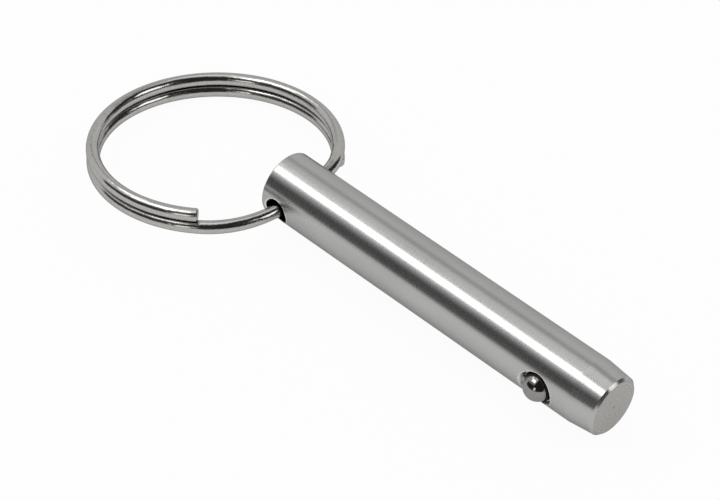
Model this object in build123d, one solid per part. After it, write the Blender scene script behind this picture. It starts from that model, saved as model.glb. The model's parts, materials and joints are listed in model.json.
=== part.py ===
from build123d import *

import os
from math import radians, sqrt, tan

# A detent pin: a straight turned shank with a sprung ball near its tip and a
# split ring through a cross hole in its head end.
#
# Frame: millimetres, +Z up. The shank lies along X with its tip towards +X.
# The origin is on the shank's axis, halfway between the ring hole and the
# ball. The pin is modelled as it lies at rest: its ball and the front mouth
# of its ring hole face -Y and slightly down, and its ring leans over the head
# end.

# --- Shank ---------------------------------------------------------------
shank_d = 12.0
shank_length = 75.3
lead_length = 5.3            # tapered stretch behind the tip face
lead_angle = 6.0             # taper per side, degrees
tip_chamfer = 0.45
head_edge_radius = 0.3

# --- Ring hole -----------------------------------------------------------
ring_hole_clearance = 1.2    # radial, around the ring's wire
ring_hole_from_head = 3.4
ring_hole_roll = 7.5         # front mouth below horizontal, degrees
ring_hole_rim = 0.2          # chamfer on both mouths

# --- Split ring ----------------------------------------------------------
ring_wire_d = 2.4
ring_mean_d = 43.6           # to the middle of the wire
ring_hole_inset = 2.15       # of the hole's middle inside the ring's mean circle
turn_gap = 0.06              # between the two stacked turns
step_front_angle = 55.0      # where the lower turn starts its step to the hole
step_back_angle = 30.0       # where the step joins the upper turn
step_offset = 0.7            # of the wire from the hole's middle, towards the tip
front_end_angle = 56.0       # cut end on the upper turn, from the hole
back_end_angle = 36.0        # cut end on the lower turn, from the hole
ring_lean = 5.0              # far side down, degrees
ring_tilt = 7.5              # front side up, degrees
ring_yaw = 5.0               # far side towards the front, degrees
wire_end_chamfer = 0.15

# --- Ball and its pocket -------------------------------------------------
ball_d = 5.0
ball_from_tip = 11.9
ball_roll = 1.5              # ball's axis below horizontal, degrees
ball_reach = 1.6             # how far the ball stands proud of the shank
ball_clearance = 0.05        # radial, in the pocket's bore
lip_clearance = 0.05         # radial, between the seated ball and the lip
lip_below_crown = 0.3        # top of the staked lip under the shank's crown
lip_land = 0.22              # width of the lip's top
lip_flare = 0.1              # how much wider the lip is at its root
groove_depth = 1.1           # staked groove around the lip, under the crown
groove_floor = 0.15          # width of the groove's floor
groove_width = 0.7           # from the lip's root to the groove's outer edge
pocket_far_wall = 3.6        # metal left behind the pocket's floor
drill_point_angle = 118.0

# --- Spring --------------------------------------------------------------
spring_wire_d = 0.55
spring_wire_sides = 8        # the wire has flats, since the spring is sealed in
spring_side_clearance = 0.2
spring_end_gap = 0.03        # to the ball and to the pocket's floor
spring_turns = 5

# --- Places that follow from the sizes above ------------------------------
shank_r = shank_d / 2
grip_span = shank_length - ring_hole_from_head - ball_from_tip
hole_x = -grip_span / 2
ball_x = grip_span / 2
head_x = hole_x - ring_hole_from_head
tip_x = ball_x + ball_from_tip

ball_r = ball_d / 2
ball_height = shank_r + ball_reach - ball_r          # seated, along the cross axis
bore_r = ball_r + ball_clearance
pocket_floor = pocket_far_wall - shank_r             # past the axis, so negative

ring_r = ring_mean_d / 2
ring_hang = ring_r - ring_hole_inset                 # from the hole's middle to the ring's centre
ring_hole_r = ring_wire_d / 2 + ring_hole_clearance
turn_height = (ring_wire_d + turn_gap) / 2           # of each turn above or below mid-plane


def cross_frame(x, roll):
    """Frame at a station on the shank's axis, with its Z out to the front."""
    return Pos(x, 0, 0) * Rot(X=90 + roll)


hole_frame = cross_frame(hole_x, ring_hole_roll)
ball_frame = cross_frame(ball_x, ball_roll)


def revolved(points):
    """Solid of revolution about Z from a closed outline of (radius, height) points."""
    face = make_face(Polyline(*points, close=True))
    return revolve(Plane.XZ * face, Axis.Z)


def shank_blank():
    """Turned bar: rounded head edge, straight shank, lead taper, chamfered tip."""
    lead_end_r = shank_r - (lead_length - tip_chamfer) * tan(radians(lead_angle))
    outline = [
        (0, head_x),
        (shank_r, head_x),
        (shank_r, tip_x - lead_length),
        (lead_end_r, tip_x - tip_chamfer),
        (lead_end_r - tip_chamfer, tip_x),
        (0, tip_x),
    ]
    bar = Rot(Y=90) * revolved(outline)
    return fillet(bar.edges().sort_by(Axis.X)[0], head_edge_radius)


def pocket_cutter():
    """Ball pocket, its staked lip and the groove around the lip, along +Z."""
    drill_point = bore_r / tan(radians(drill_point_angle / 2))
    lip_height = shank_r - lip_below_crown
    seated_r = sqrt(ball_r**2 - (lip_height - ball_height) ** 2)
    lip_r = seated_r + lip_clearance
    lip_root_r = lip_r + lip_land + lip_flare
    groove_height = shank_r - groove_depth
    mouth_r = lip_root_r + groove_width
    outline = [
        (0, pocket_floor - drill_point),
        (bore_r, pocket_floor),
        (bore_r, groove_height),
        (lip_r, lip_height),
        (lip_r + lip_land, lip_height),
        (lip_root_r, groove_height),
        (lip_root_r + groove_floor, groove_height),
        (mouth_r, shank_r),
        (mouth_r, shank_d),
        (0, shank_d),
    ]
    return revolved(outline)


def ring_hole_mouths(shank):
    """Edges where the ring hole breaks through the shank's surface."""
    mouth_tolerance = 0.01
    axis_plane = Plane(hole_frame)
    mouths = []
    for edge in shank.edges():
        middle = axis_plane.to_local_coords(edge @ 0.5)
        off_axis = sqrt(middle.X**2 + middle.Y**2)
        if abs(off_axis - ring_hole_r) < mouth_tolerance:
            mouths.append(edge)
    return mouths


def make_shank():
    """The bar with its ring hole and its ball pocket."""
    shank = shank_blank()
    shank -= hole_frame * Cylinder(ring_hole_r, 2 * shank_d)
    shank = chamfer(ring_hole_mouths(shank), ring_hole_rim)
    return shank - ball_frame * pocket_cutter()


def make_ball():
    """The ball on its seat under the lip."""
    return ball_frame * Pos(0, 0, ball_height) * Sphere(ball_r)


def make_spring():
    """Compression spring between the pocket's floor and the ball."""
    wire_r = spring_wire_d / 2
    coil_r = bore_r - spring_side_clearance - wire_r
    bottom = pocket_floor + wire_r + spring_end_gap
    reach = ball_r + wire_r + spring_end_gap
    top = ball_height - sqrt(reach**2 - coil_r**2)
    height = top - bottom
    helix = Helix(pitch=height / spring_turns, height=height, radius=coil_r)
    section = Plane(origin=helix @ 0, z_dir=helix % 0) * RegularPolygon(wire_r, spring_wire_sides)
    coil = sweep(section, path=helix, is_frenet=True)
    return ball_frame * Pos(0, 0, bottom) * coil


def ring_frame():
    """Frame of the ring at the hole: X to the tip, Y to the back, Z off its face."""
    return Pos(hole_x, 0, 0) * Rot(Z=ring_yaw) * Rot(Y=-ring_lean) * Rot(X=-ring_tilt)


def ring_turn(start_angle, end_angle, height):
    """One flat turn of the wire's path, in the ring's frame."""
    level = Pos(-ring_hang, 0, height)
    return level * CenterArc((0, 0), ring_r, start_angle, end_angle - start_angle)


def ring_path():
    """Middle line of the wire: lower turn, step through the hole, upper turn."""
    lower = ring_turn(back_end_angle, 360 - step_front_angle, -turn_height)
    upper = ring_turn(step_back_angle, 360 - front_end_angle, turn_height)
    hole_in_ring = Plane(ring_frame().inverse() * hole_frame)
    step = Spline(
        lower @ 1,
        (step_offset, 0, 0),
        upper @ 0,
        tangents=[lower % 1, -hole_in_ring.z_dir, upper % 0],
    )
    return Wire([lower.edge(), step.edge(), upper.edge()])


def make_split_ring():
    """Round wire wound into two stacked turns, hung through the ring hole."""
    path = ring_path()
    section = Plane(origin=path @ 0, z_dir=path % 0) * Circle(ring_wire_d / 2)
    wire = sweep(section, path=path)
    ends = wire.faces().filter_by(GeomType.PLANE).edges()
    return ring_frame() * chamfer(ends, wire_end_chamfer)


parts = {
    "shank": make_shank(),
    "split_ring": make_split_ring(),
    "detent_ball": make_ball(),
    "detent_spring": make_spring(),
}

os.makedirs("parts", exist_ok=True)
for name, shape in parts.items():
    export_step(shape, f"parts/{name}.step")
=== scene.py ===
"""Looks of the detent pin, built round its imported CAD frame.

Metres, in the CAD's own frame: the shank lies along X with its tip towards +X, +Z is up, and the ball and
the front mouth of the ring hole face -Y.
"""

import json
import math

import bpy
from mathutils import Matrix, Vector


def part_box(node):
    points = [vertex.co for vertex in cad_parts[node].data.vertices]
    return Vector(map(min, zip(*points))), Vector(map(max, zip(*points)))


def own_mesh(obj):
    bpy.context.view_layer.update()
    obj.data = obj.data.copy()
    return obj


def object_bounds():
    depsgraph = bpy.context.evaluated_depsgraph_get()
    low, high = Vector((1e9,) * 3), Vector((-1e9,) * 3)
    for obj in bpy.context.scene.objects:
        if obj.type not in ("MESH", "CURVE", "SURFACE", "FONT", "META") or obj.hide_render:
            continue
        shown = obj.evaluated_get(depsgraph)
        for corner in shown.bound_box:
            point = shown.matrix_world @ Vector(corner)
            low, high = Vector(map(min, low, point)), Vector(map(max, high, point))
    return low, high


MM = 0.001

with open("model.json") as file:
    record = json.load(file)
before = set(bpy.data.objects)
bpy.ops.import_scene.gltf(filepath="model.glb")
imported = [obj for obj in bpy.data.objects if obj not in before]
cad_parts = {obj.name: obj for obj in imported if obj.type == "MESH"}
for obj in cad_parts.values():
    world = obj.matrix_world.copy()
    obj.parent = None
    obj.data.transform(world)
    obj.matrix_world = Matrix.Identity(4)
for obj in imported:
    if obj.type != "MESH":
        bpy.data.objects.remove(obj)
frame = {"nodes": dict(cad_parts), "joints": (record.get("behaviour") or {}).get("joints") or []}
cad_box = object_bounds()

nodes = frame["nodes"]
joints = {joint["name"]: joint for joint in frame["joints"]}


# --- Node helpers -----------------------------------------------------------


class Graph:
    """Short calls for building one node tree."""

    def __init__(self, tree):
        self.tree = tree

    def node(self, kind, **settings):
        made = self.tree.nodes.new(kind)
        for key, value in settings.items():
            setattr(made, key, value)
        return made

    def link(self, source, target):
        self.tree.links.new(source, target)

    def feed(self, value, socket):
        """Links a socket, or sets a plain value."""
        if isinstance(value, bpy.types.NodeSocket):
            self.link(value, socket)
        else:
            socket.default_value = value

    def math(self, operation, a, b=0.0, c=0.0):
        made = self.node("ShaderNodeMath", operation=operation)
        for value, socket in zip((a, b, c), made.inputs):
            self.feed(value, socket)
        return made.outputs[0]

    def ramp(self, value, low, high, to_low=0.0, to_high=1.0):
        """Smooth step of value from low..high to to_low..to_high."""
        made = self.node("ShaderNodeMapRange", interpolation_type="SMOOTHSTEP")
        self.feed(value, made.inputs["Value"])
        self.feed(low, made.inputs["From Min"])
        self.feed(high, made.inputs["From Max"])
        self.feed(to_low, made.inputs["To Min"])
        self.feed(to_high, made.inputs["To Max"])
        return made.outputs[0]

    def mix(self, share, a, b):
        made = self.node("ShaderNodeMix", data_type="FLOAT")
        self.feed(share, made.inputs[0])
        self.feed(a, made.inputs[2])
        self.feed(b, made.inputs[3])
        return made.outputs[0]

    def mix_colour(self, share, a, b):
        made = self.node("ShaderNodeMix", data_type="RGBA")
        self.feed(share, made.inputs[0])
        self.feed(a, made.inputs[6])
        self.feed(b, made.inputs[7])
        return made.outputs[2]

    def mix_shader(self, share, a, b):
        made = self.node("ShaderNodeMixShader")
        self.feed(share, made.inputs[0])
        self.link(a, made.inputs[1])
        self.link(b, made.inputs[2])
        return made.outputs[0]

    def split(self, vector):
        made = self.node("ShaderNodeSeparateXYZ")
        self.link(vector, made.inputs[0])
        return made.outputs

    def lines(self, along, scale, detail=2.0, roughness=0.5):
        """1-D noise: lines across the direction that along measures."""
        made = self.node("ShaderNodeTexNoise", noise_dimensions="1D")
        self.feed(along, made.inputs["W"])
        made.inputs["Scale"].default_value = scale
        made.inputs["Detail"].default_value = detail
        made.inputs["Roughness"].default_value = roughness
        return made.outputs[0]

    def cloud(self, vector, scale, detail=2.0, roughness=0.5):
        made = self.node("ShaderNodeTexNoise")
        self.feed(vector, made.inputs["Vector"])
        made.inputs["Scale"].default_value = scale
        made.inputs["Detail"].default_value = detail
        made.inputs["Roughness"].default_value = roughness
        return made.outputs[0]

    def stretched(self, vector, scale):
        made = self.node("ShaderNodeMapping")
        self.feed(vector, made.inputs["Vector"])
        made.inputs["Scale"].default_value = scale
        return made.outputs[0]

    def vector_math(self, operation, a, b=(0, 0, 0)):
        made = self.node("ShaderNodeVectorMath", operation=operation)
        self.feed(a, made.inputs[0])
        self.feed(b, made.inputs[1])
        gives_number = operation in ("LENGTH", "DOT_PRODUCT")
        return made.outputs["Value" if gives_number else "Vector"]

    def off_axis(self, spot, point, axis):
        """Distance of a spot from the line through point along the unit vector axis."""
        away = self.vector_math("SUBTRACT", spot, point)
        return self.vector_math("LENGTH", self.vector_math("CROSS_PRODUCT", away, axis))

    def bump(self, height, distance, normal=None):
        made = self.node("ShaderNodeBump")
        made.inputs["Strength"].default_value = 1.0
        made.inputs["Distance"].default_value = distance
        self.feed(height, made.inputs["Height"])
        if normal is not None:
            self.link(normal, made.inputs["Normal"])
        return made.outputs[0]


def new_material(name):
    material = bpy.data.materials.new(name)
    material.use_nodes = True
    material.node_tree.nodes.clear()
    graph = Graph(material.node_tree)
    out = graph.node("ShaderNodeOutputMaterial")
    return material, graph, out


def metal_shader(graph, out, metallic=1.0, edge=0.8, anisotropic=0.0, rotation=0.0):
    """Bare metal. edge is how bright it stays where it is seen edge on."""
    shader = graph.node("ShaderNodeBsdfPrincipled")
    shader.inputs["Metallic"].default_value = metallic
    shader.inputs["Specular Tint"].default_value = (edge, edge, edge, 1)
    shader.inputs["Anisotropic"].default_value = anisotropic
    shader.inputs["Anisotropic Rotation"].default_value = rotation
    graph.link(shader.outputs[0], out.inputs[0])
    return shader


def assign(obj, material):
    obj.data.materials.clear()
    obj.data.materials.append(material)
    for polygon in obj.data.polygons:
        polygon.material_index = 0


# --- Places on the pin ------------------------------------------------------

shank_low, shank_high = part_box("shank")
shank_r = shank_high.z
shank_middle_x = (shank_low.x + shank_high.x) / 2
shank_half_length = (shank_high.x - shank_low.x) / 2

ball_low, ball_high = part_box("detent_ball")
ball_middle = (ball_low + ball_high) / 2
ball_axis = Vector(joints["ball_press"]["axis"])
pocket_mouth_r = 3.5 * MM  # at the shank's crown
pocket_slope = 0.5  # how fast the pocket narrows with depth

hole_middle = Vector(joints["ring_swing"]["pos_m"])
hole_axis = Vector(joints["ring_swing"]["axis"])
hole_r = 2.4 * MM


# --- Metals -----------------------------------------------------------------


def side_tone(g, soft):
    """Colour of the turned side."""
    return g.mix_colour(g.ramp(soft, 0.3, 0.7), (0.455, 0.455, 0.447, 1), (0.49, 0.487, 0.479, 1))


def face_tone(g, soft, rings, radius):
    """Colour of an end face, lighter than the turned side as painted light: warm patches, darker turned
    rings and the lathe's centre mark.
    """
    patches = g.mix_colour(g.ramp(soft, 0.35, 0.65), (0.54, 0.522, 0.498, 1), (0.55, 0.545, 0.532, 1))
    ringed = g.mix_colour(g.ramp(rings, 0.3, 0.7), patches, (0.46, 0.445, 0.424, 1))
    centre_mark = g.math("MULTIPLY", g.ramp(radius, 0.22 * MM, 0.1 * MM), 0.7)
    return g.mix_colour(centre_mark, ringed, (0.1, 0.09, 0.085, 1))


def painted_rim_and_recess_masks(g, spot, x, radius):
    """Masks of the painted highlight on the rims round the pocket and the ring hole, and of the painted
    shade inside them.
    """
    height = g.math("ABSOLUTE", g.vector_math("DOT_PRODUCT", spot, ball_axis))
    pocket_r = g.math("MULTIPLY_ADD", height, pocket_slope, pocket_mouth_r - shank_r * pocket_slope)
    from_pocket = g.math("SUBTRACT", g.off_axis(spot, ball_middle, ball_axis), pocket_r)
    ball_side = g.math("LESS_THAN", g.vector_math("DOT_PRODUCT", spot, ball_axis), 0.0)
    # Painted highlight on the pocket's rim.
    pocket_rim_highlight = g.math("MULTIPLY", g.ramp(from_pocket, 0.13 * MM, 0.06 * MM), ball_side)
    # Painted shade inside the pocket, kept off the lit wall on the head's side except deep down.
    pocket_shade = g.math("MULTIPLY", g.ramp(from_pocket, -0.04 * MM, -0.16 * MM), ball_side)
    depth = g.math("SUBTRACT", shank_r, radius)
    past_lit_wall = g.ramp(x, ball_middle.x - 2.9 * MM, ball_middle.x - 2.2 * MM)
    unlit = g.math("MAXIMUM", past_lit_wall, g.ramp(depth, 0.5 * MM, 0.9 * MM))
    pocket_shade = g.math("MULTIPLY", pocket_shade, unlit)

    from_hole = g.math("SUBTRACT", g.off_axis(spot, hole_middle, hole_axis), hole_r)
    tip_side = g.ramp(x, hole_middle.x - 1.0 * MM, hole_middle.x + 1.5 * MM)
    # How far the painted highlight round the ring hole reaches, wider on the tip's side.
    hole_highlight_reach = g.math("MULTIPLY_ADD", tip_side, 0.1 * MM, 0.3 * MM)
    # How far the painted shade inside the ring hole reaches.
    hole_shade_reach = g.math("MULTIPLY_ADD", tip_side, 0.17 * MM, 0.03 * MM)

    rim_highlight = g.math("MAXIMUM", pocket_rim_highlight, g.math("LESS_THAN", from_hole, hole_highlight_reach))
    # inside: painted shade in the pocket and the ring hole.
    inside = g.math("MAXIMUM", pocket_shade, g.math("LESS_THAN", from_hole, hole_shade_reach))
    return rim_highlight, inside


def turned_steel():
    """Satin turned bar: hairlines round the shank, rings on its end faces, painted highlights on the rims
    and painted shade in the recesses.
    """
    material, g, out = new_material("turned_steel")
    shader = metal_shader(g, out, metallic=0.93, edge=0.5, anisotropic=0.55, rotation=0.25)
    place = g.node("ShaderNodeTexCoord")
    spot = place.outputs["Object"]
    x = g.split(spot)[0]
    radius = g.off_axis(spot, (0, 0, 0), (1, 0, 0))
    from_middle = g.math("ABSOLUTE", g.math("SUBTRACT", x, shank_middle_x))
    at_end = g.math("GREATER_THAN", from_middle, shank_half_length - 0.1 * MM)
    facing_end = g.ramp(g.math("ABSOLUTE", g.split(place.outputs["Normal"])[0]), 0.85, 0.97)
    on_face = g.math("MULTIPLY", facing_end, at_end)

    fine = g.lines(x, 12000.0, 3.0, 0.6)
    medium = g.lines(x, 2600.0, 2.0)
    rings = g.lines(radius, 3200.0, 3.0, 0.6)
    soft = g.cloud(g.stretched(spot, (60, 260, 260)), 1.0, 3.0)

    rim_highlight, inside = painted_rim_and_recess_masks(g, spot, x, radius)
    colour = g.mix_colour(on_face, side_tone(g, soft), face_tone(g, soft, rings, radius))
    # Painted highlight on the rims of the ball pocket and the ring hole.
    colour = g.mix_colour(rim_highlight, colour, (0.8, 0.795, 0.785, 1))
    # Painted shade inside the pocket and the ring hole.
    colour = g.mix_colour(inside, colour, (0.03, 0.028, 0.026, 1))
    g.link(colour, shader.inputs["Base Color"])

    side_rough = g.math("ADD", g.ramp(fine, 0.3, 0.7, 0.17, 0.31), g.ramp(medium, 0.3, 0.7, -0.01, 0.01))
    face_rough = g.ramp(rings, 0.3, 0.7, 0.26, 0.36)
    g.link(g.mix(on_face, side_rough, face_rough), shader.inputs["Roughness"])

    cut = g.mix(on_face, g.math("MULTIPLY", fine, 0.15), rings)
    g.link(g.bump(cut, 0.012 * MM), shader.inputs["Normal"])
    tangent = g.node("ShaderNodeTangent", direction_type="RADIAL", axis="X")
    g.link(tangent.outputs[0], shader.inputs["Tangent"])
    return material


def ring_wire():
    """Bright drawn wire with the slight waves of a wound and tumbled ring, and painted shade between its
    turns.
    """
    material, g, out = new_material("ring_wire")
    shader = metal_shader(g, out, edge=0.55)
    spot = g.node("ShaderNodeTexCoord").outputs["Object"]
    waves = g.cloud(spot, 330.0, 1.0)
    dents = g.cloud(spot, 900.0, 0.0)
    scuffs = g.cloud(spot, 2600.0, 4.0, 0.65)
    crevice_shade = g.node("ShaderNodeAmbientOcclusion", samples=8)
    crevice_shade.inputs["Distance"].default_value = 0.7 * MM
    colour = g.mix_colour(g.ramp(scuffs, 0.35, 0.7), (0.45, 0.44, 0.425, 1), (0.54, 0.528, 0.51, 1))
    # Painted shade where the turns lie close, taken from the occlusion node.
    colour = g.mix_colour(g.ramp(crevice_shade.outputs["AO"], 0.7, 0.3), colour, (0.09, 0.08, 0.066, 1))
    g.link(colour, shader.inputs["Base Color"])
    g.link(g.ramp(scuffs, 0.3, 0.75, 0.14, 0.22), shader.inputs["Roughness"])
    g.link(g.bump(dents, 0.02 * MM, normal=g.bump(waves, 0.12 * MM)), shader.inputs["Normal"])
    return material


def polished_ball():
    """Mirror polished bearing ball with faint handling marks."""
    material, g, out = new_material("polished_ball")
    shader = metal_shader(g, out)
    marks = g.cloud(g.node("ShaderNodeTexCoord").outputs["Object"], 1500.0, 4.0, 0.6)
    colour = g.mix_colour(marks, (0.25, 0.242, 0.228, 1), (0.35, 0.34, 0.325, 1))
    g.link(colour, shader.inputs["Base Color"])
    g.link(g.ramp(marks, 0.35, 0.75, 0.03, 0.09), shader.inputs["Roughness"])
    g.link(g.bump(marks, 0.004 * MM), shader.inputs["Normal"])
    return material


def spring_steel():
    """Plain drawn spring wire."""
    material, g, out = new_material("spring_steel")
    shader = metal_shader(g, out)
    marks = g.cloud(g.node("ShaderNodeTexCoord").outputs["Object"], 4000.0, 3.0, 0.6)
    colour = g.mix_colour(marks, (0.3, 0.295, 0.29, 1), (0.4, 0.394, 0.386, 1))
    g.link(colour, shader.inputs["Base Color"])
    g.link(g.ramp(marks, 0.3, 0.7, 0.25, 0.4), shader.inputs["Roughness"])
    return material


def close_spring_with_ball():
    """Gives the spring its own copy of its mesh."""
    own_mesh(nodes["detent_spring"])


assign(nodes["shank"], turned_steel())
assign(nodes["split_ring"], ring_wire())
assign(nodes["detent_ball"], polished_ball())
assign(nodes["detent_spring"], spring_steel())
close_spring_with_ball()


# --- Studio directions ------------------------------------------------------


def direction(azimuth, elevation):
    """Unit vector towards a place round the object: azimuth 0 is in front (-Y), 90 is +X."""
    a, e = math.radians(azimuth), math.radians(elevation)
    return Vector((math.sin(a) * math.cos(e), -math.cos(a) * math.cos(e), math.sin(e)))


def heading(along, around):
    """Unit vector by the shank's axis: around 0 is up and 90 in front, along leans from head to tip."""
    b, a = math.radians(along), math.radians(around)
    return Vector((math.sin(b), -math.cos(b) * math.sin(a), math.cos(b) * math.cos(a)))


# --- Panels that only reflections see ---------------------------------------

WHITE = (1, 1, 1, 1)


def new_stage_object(name, verts, faces):
    mesh = bpy.data.meshes.new(name)
    mesh.from_pydata(verts, [], faces)
    obj = bpy.data.objects.new(name, mesh)
    bpy.context.scene.collection.objects.link(obj)
    return obj


def card_material(name, look_at):
    """Glow over clear. look_at(graph, u, v) gives its colour, strength and opacity."""
    material, g, out = new_material(name)
    u, v, _ = g.split(g.node("ShaderNodeTexCoord").outputs["UV"])
    colour, strength, opacity = look_at(g, u, v)
    glow = g.node("ShaderNodeEmission")
    g.feed(colour, glow.inputs["Color"])
    g.feed(strength, glow.inputs["Strength"])
    clear = g.node("ShaderNodeBsdfTransparent")
    g.link(g.mix_shader(opacity, clear.outputs[0], glow.outputs[0]), out.inputs[0])
    return material


def card(name, towards, first, second, distance, look_at):
    """Curved panel spanning two ranges of the angles that towards() takes."""
    columns, rows = 24, 12
    verts, uvs, faces = [], [], []
    for i in range(rows + 1):
        b = second[0] + (second[1] - second[0]) * i / rows
        for k in range(columns + 1):
            a = first[0] + (first[1] - first[0]) * k / columns
            verts.append(towards(a, b) * distance)
            uvs.append((k / columns, i / rows))
    for i in range(rows):
        for k in range(columns):
            corner = i * (columns + 1) + k
            faces.append((corner, corner + 1, corner + columns + 2, corner + columns + 1))
    obj = new_stage_object(name, verts, faces)
    layer = obj.data.uv_layers.new(name="card")
    for loop in obj.data.loops:
        layer.data[loop.index].uv = uvs[loop.vertex_index]
    assign(obj, card_material(name, look_at))
    obj.visible_camera = False
    obj.visible_diffuse = False
    obj.visible_shadow = False
    obj.visible_transmission = False


def soft_edged(g, u, v, edge_u, edge_v):
    """1 inside a card, fading to 0 over the given shares of its width and height."""
    sides = g.math("MULTIPLY", g.ramp(u, 0.0, edge_u), g.ramp(u, 1.0, 1.0 - edge_u))
    ends = g.math("MULTIPLY", g.ramp(v, 0.0, edge_v), g.ramp(v, 1.0, 1.0 - edge_v))
    return g.math("MULTIPLY", sides, ends)


def lamp(strength, edge_u, edge_v):
    """Look of a white lamp with soft edges."""
    return lambda g, u, v: (WHITE, strength, soft_edged(g, u, v, edge_u, edge_v))


def front_room(g, u, v):
    """Unlit room in front, cool and fading out upwards, with a sharper edge at the table."""
    heights = g.math("MULTIPLY", g.ramp(v, 0.04, 0.53), g.ramp(v, 1.0, 0.9))
    opacity = g.math("MULTIPLY", heights, g.ramp(u, 0.0, 0.06))
    colour = g.mix_colour(g.ramp(v, 0.4, 0.8), (0.75, 0.9, 1.25, 1), (1.05, 1.0, 0.93, 1))
    return colour, g.ramp(v, 0.4, 0.8, 0.02, 0.05), opacity


def side_room(g, u, v):
    """Unlit room on the tip's side."""
    return WHITE, 0.03, g.math("MULTIPLY", g.ramp(u, 0.0, 0.12), g.ramp(v, 0.0, 0.1))


def dim_strip(g, u, v):
    """Strip that takes some light away behind the pin."""
    return WHITE, 0.0, g.math("MULTIPLY", soft_edged(g, u, v, 0.1, 0.5), 0.4)


def softbox(g, u, v):
    """Long lamp head overhead: the highlight along the shank, bent forward over the taper."""
    bend = g.ramp(u, 0.48, 0.66, 0.0, 0.12)
    return WHITE, 4.5, soft_edged(g, u, g.math("SUBTRACT", v, bend), 0.15, 0.25)


card("front_room", heading, (-66, 82), (20, 84), 1.6, front_room)
card("side_room", heading, (-4, 82), (-100, 60), 1.6, side_room)
card("back_dip", heading, (-70, 15), (-58, -26), 1.6, dim_strip)
card("horizon_dip", heading, (-70, 15), (-104, -86), 1.6, dim_strip)
card("lit_doorway", heading, (5, 24), (52, 80), 1.5, lamp(1.6, 0.25, 0.25))
card("ceiling", heading, (-26, -3), (-38, 6), 1.5, lamp(1.3, 0.3, 0.3))
card("softbox", heading, (-40, -4), (1, 28), 1.4, softbox)
card("window", heading, (-50, -37), (-19, 7), 1.4, lamp(2.8, 0.2, 0.2))
card("rim_light", direction, (100, 140), (18, 46), 1.4, lamp(2.4, 0.15, 0.15))


# --- Floor, world and lamps -------------------------------------------------


def sees_background(g, mirrored=1.0):
    """1 for rays that see the background straight or through glass, and mirrored for reflected ones."""
    path = g.node("ShaderNodeLightPath")
    straight = g.math("MAXIMUM", path.outputs["Is Camera Ray"], path.outputs["Is Transmission Ray"])
    return g.math("MAXIMUM", straight, g.math("MULTIPLY", path.outputs["Is Glossy Ray"], mirrored))


def pale_floor():
    """Matt pale floor that shows white to the camera and keeps the object's shadow."""
    material, g, out = new_material("pale_floor")
    matte = g.node("ShaderNodeBsdfDiffuse")
    grain = g.cloud(g.node("ShaderNodeTexCoord").outputs["Object"], 900.0, 2.0)
    g.link(g.mix_colour(grain, (0.84, 0.84, 0.84, 1), (0.86, 0.86, 0.86, 1)), matte.inputs["Color"])
    glow = g.node("ShaderNodeEmission")
    glow.inputs["Strength"].default_value = 1.0
    white = g.math("MULTIPLY", sees_background(g, mirrored=0.5), 0.95)
    g.link(g.mix_shader(white, matte.outputs[0], glow.outputs[0]), out.inputs[0])
    return material


def lay_floor(half_size=3.0):
    z = cad_box[0].z
    signs = [(-1, -1), (1, -1), (1, 1), (-1, 1)]
    corners = [(a * half_size, b * half_size, z) for a, b in signs]
    assign(new_stage_object("floor", corners, [(0, 1, 2, 3)]), pale_floor())


def set_world():
    """White backdrop, a little dimmer as a light."""
    world = bpy.data.worlds.new("studio")
    world.use_nodes = True
    world.node_tree.nodes.clear()
    g = Graph(world.node_tree)
    out = g.node("ShaderNodeOutputWorld")
    sky = g.node("ShaderNodeBackground")
    g.link(g.mix(sees_background(g), 0.85, 1.0), sky.inputs["Strength"])
    g.link(sky.outputs[0], out.inputs[0])
    bpy.context.scene.world = world


def area_light(name, azimuth, elevation, power, distance=1.3, size=0.9):
    light = bpy.data.lights.new(name, "AREA")
    light.shape = "DISK"
    light.size = size
    light.energy = power
    obj = bpy.data.objects.new(name, light)
    bpy.context.scene.collection.objects.link(obj)
    towards = direction(azimuth, elevation)
    obj.location = towards * distance
    obj.rotation_euler = towards.to_track_quat("Z", "Y").to_euler()
    obj.visible_camera = False
    obj.visible_glossy = False


lay_floor()
set_world()
area_light("top_fill", -60, 62, 3.0)
area_light("back_fill", 160, 55, 1.5)


# --- Camera -----------------------------------------------------------------

camera_azimuth = 44.33
camera_elevation = 45.01
camera_aim = Vector((-12.45, -2.9, 0.0)) * MM
camera_distance = 460.4 * MM


def set_camera():
    lens = bpy.data.cameras.new("camera")
    lens.lens = 135.0
    lens.sensor_width = 36.0
    lens.clip_start = 0.01
    lens.clip_end = 20.0
    camera = bpy.data.objects.new("camera", lens)
    bpy.context.scene.collection.objects.link(camera)
    back = direction(camera_azimuth, camera_elevation)
    camera.location = camera_aim + back * camera_distance
    camera.rotation_euler = back.to_track_quat("Z", "Y").to_euler()
    bpy.context.scene.camera = camera


set_camera()
bpy.context.scene.view_settings.view_transform = "Standard"
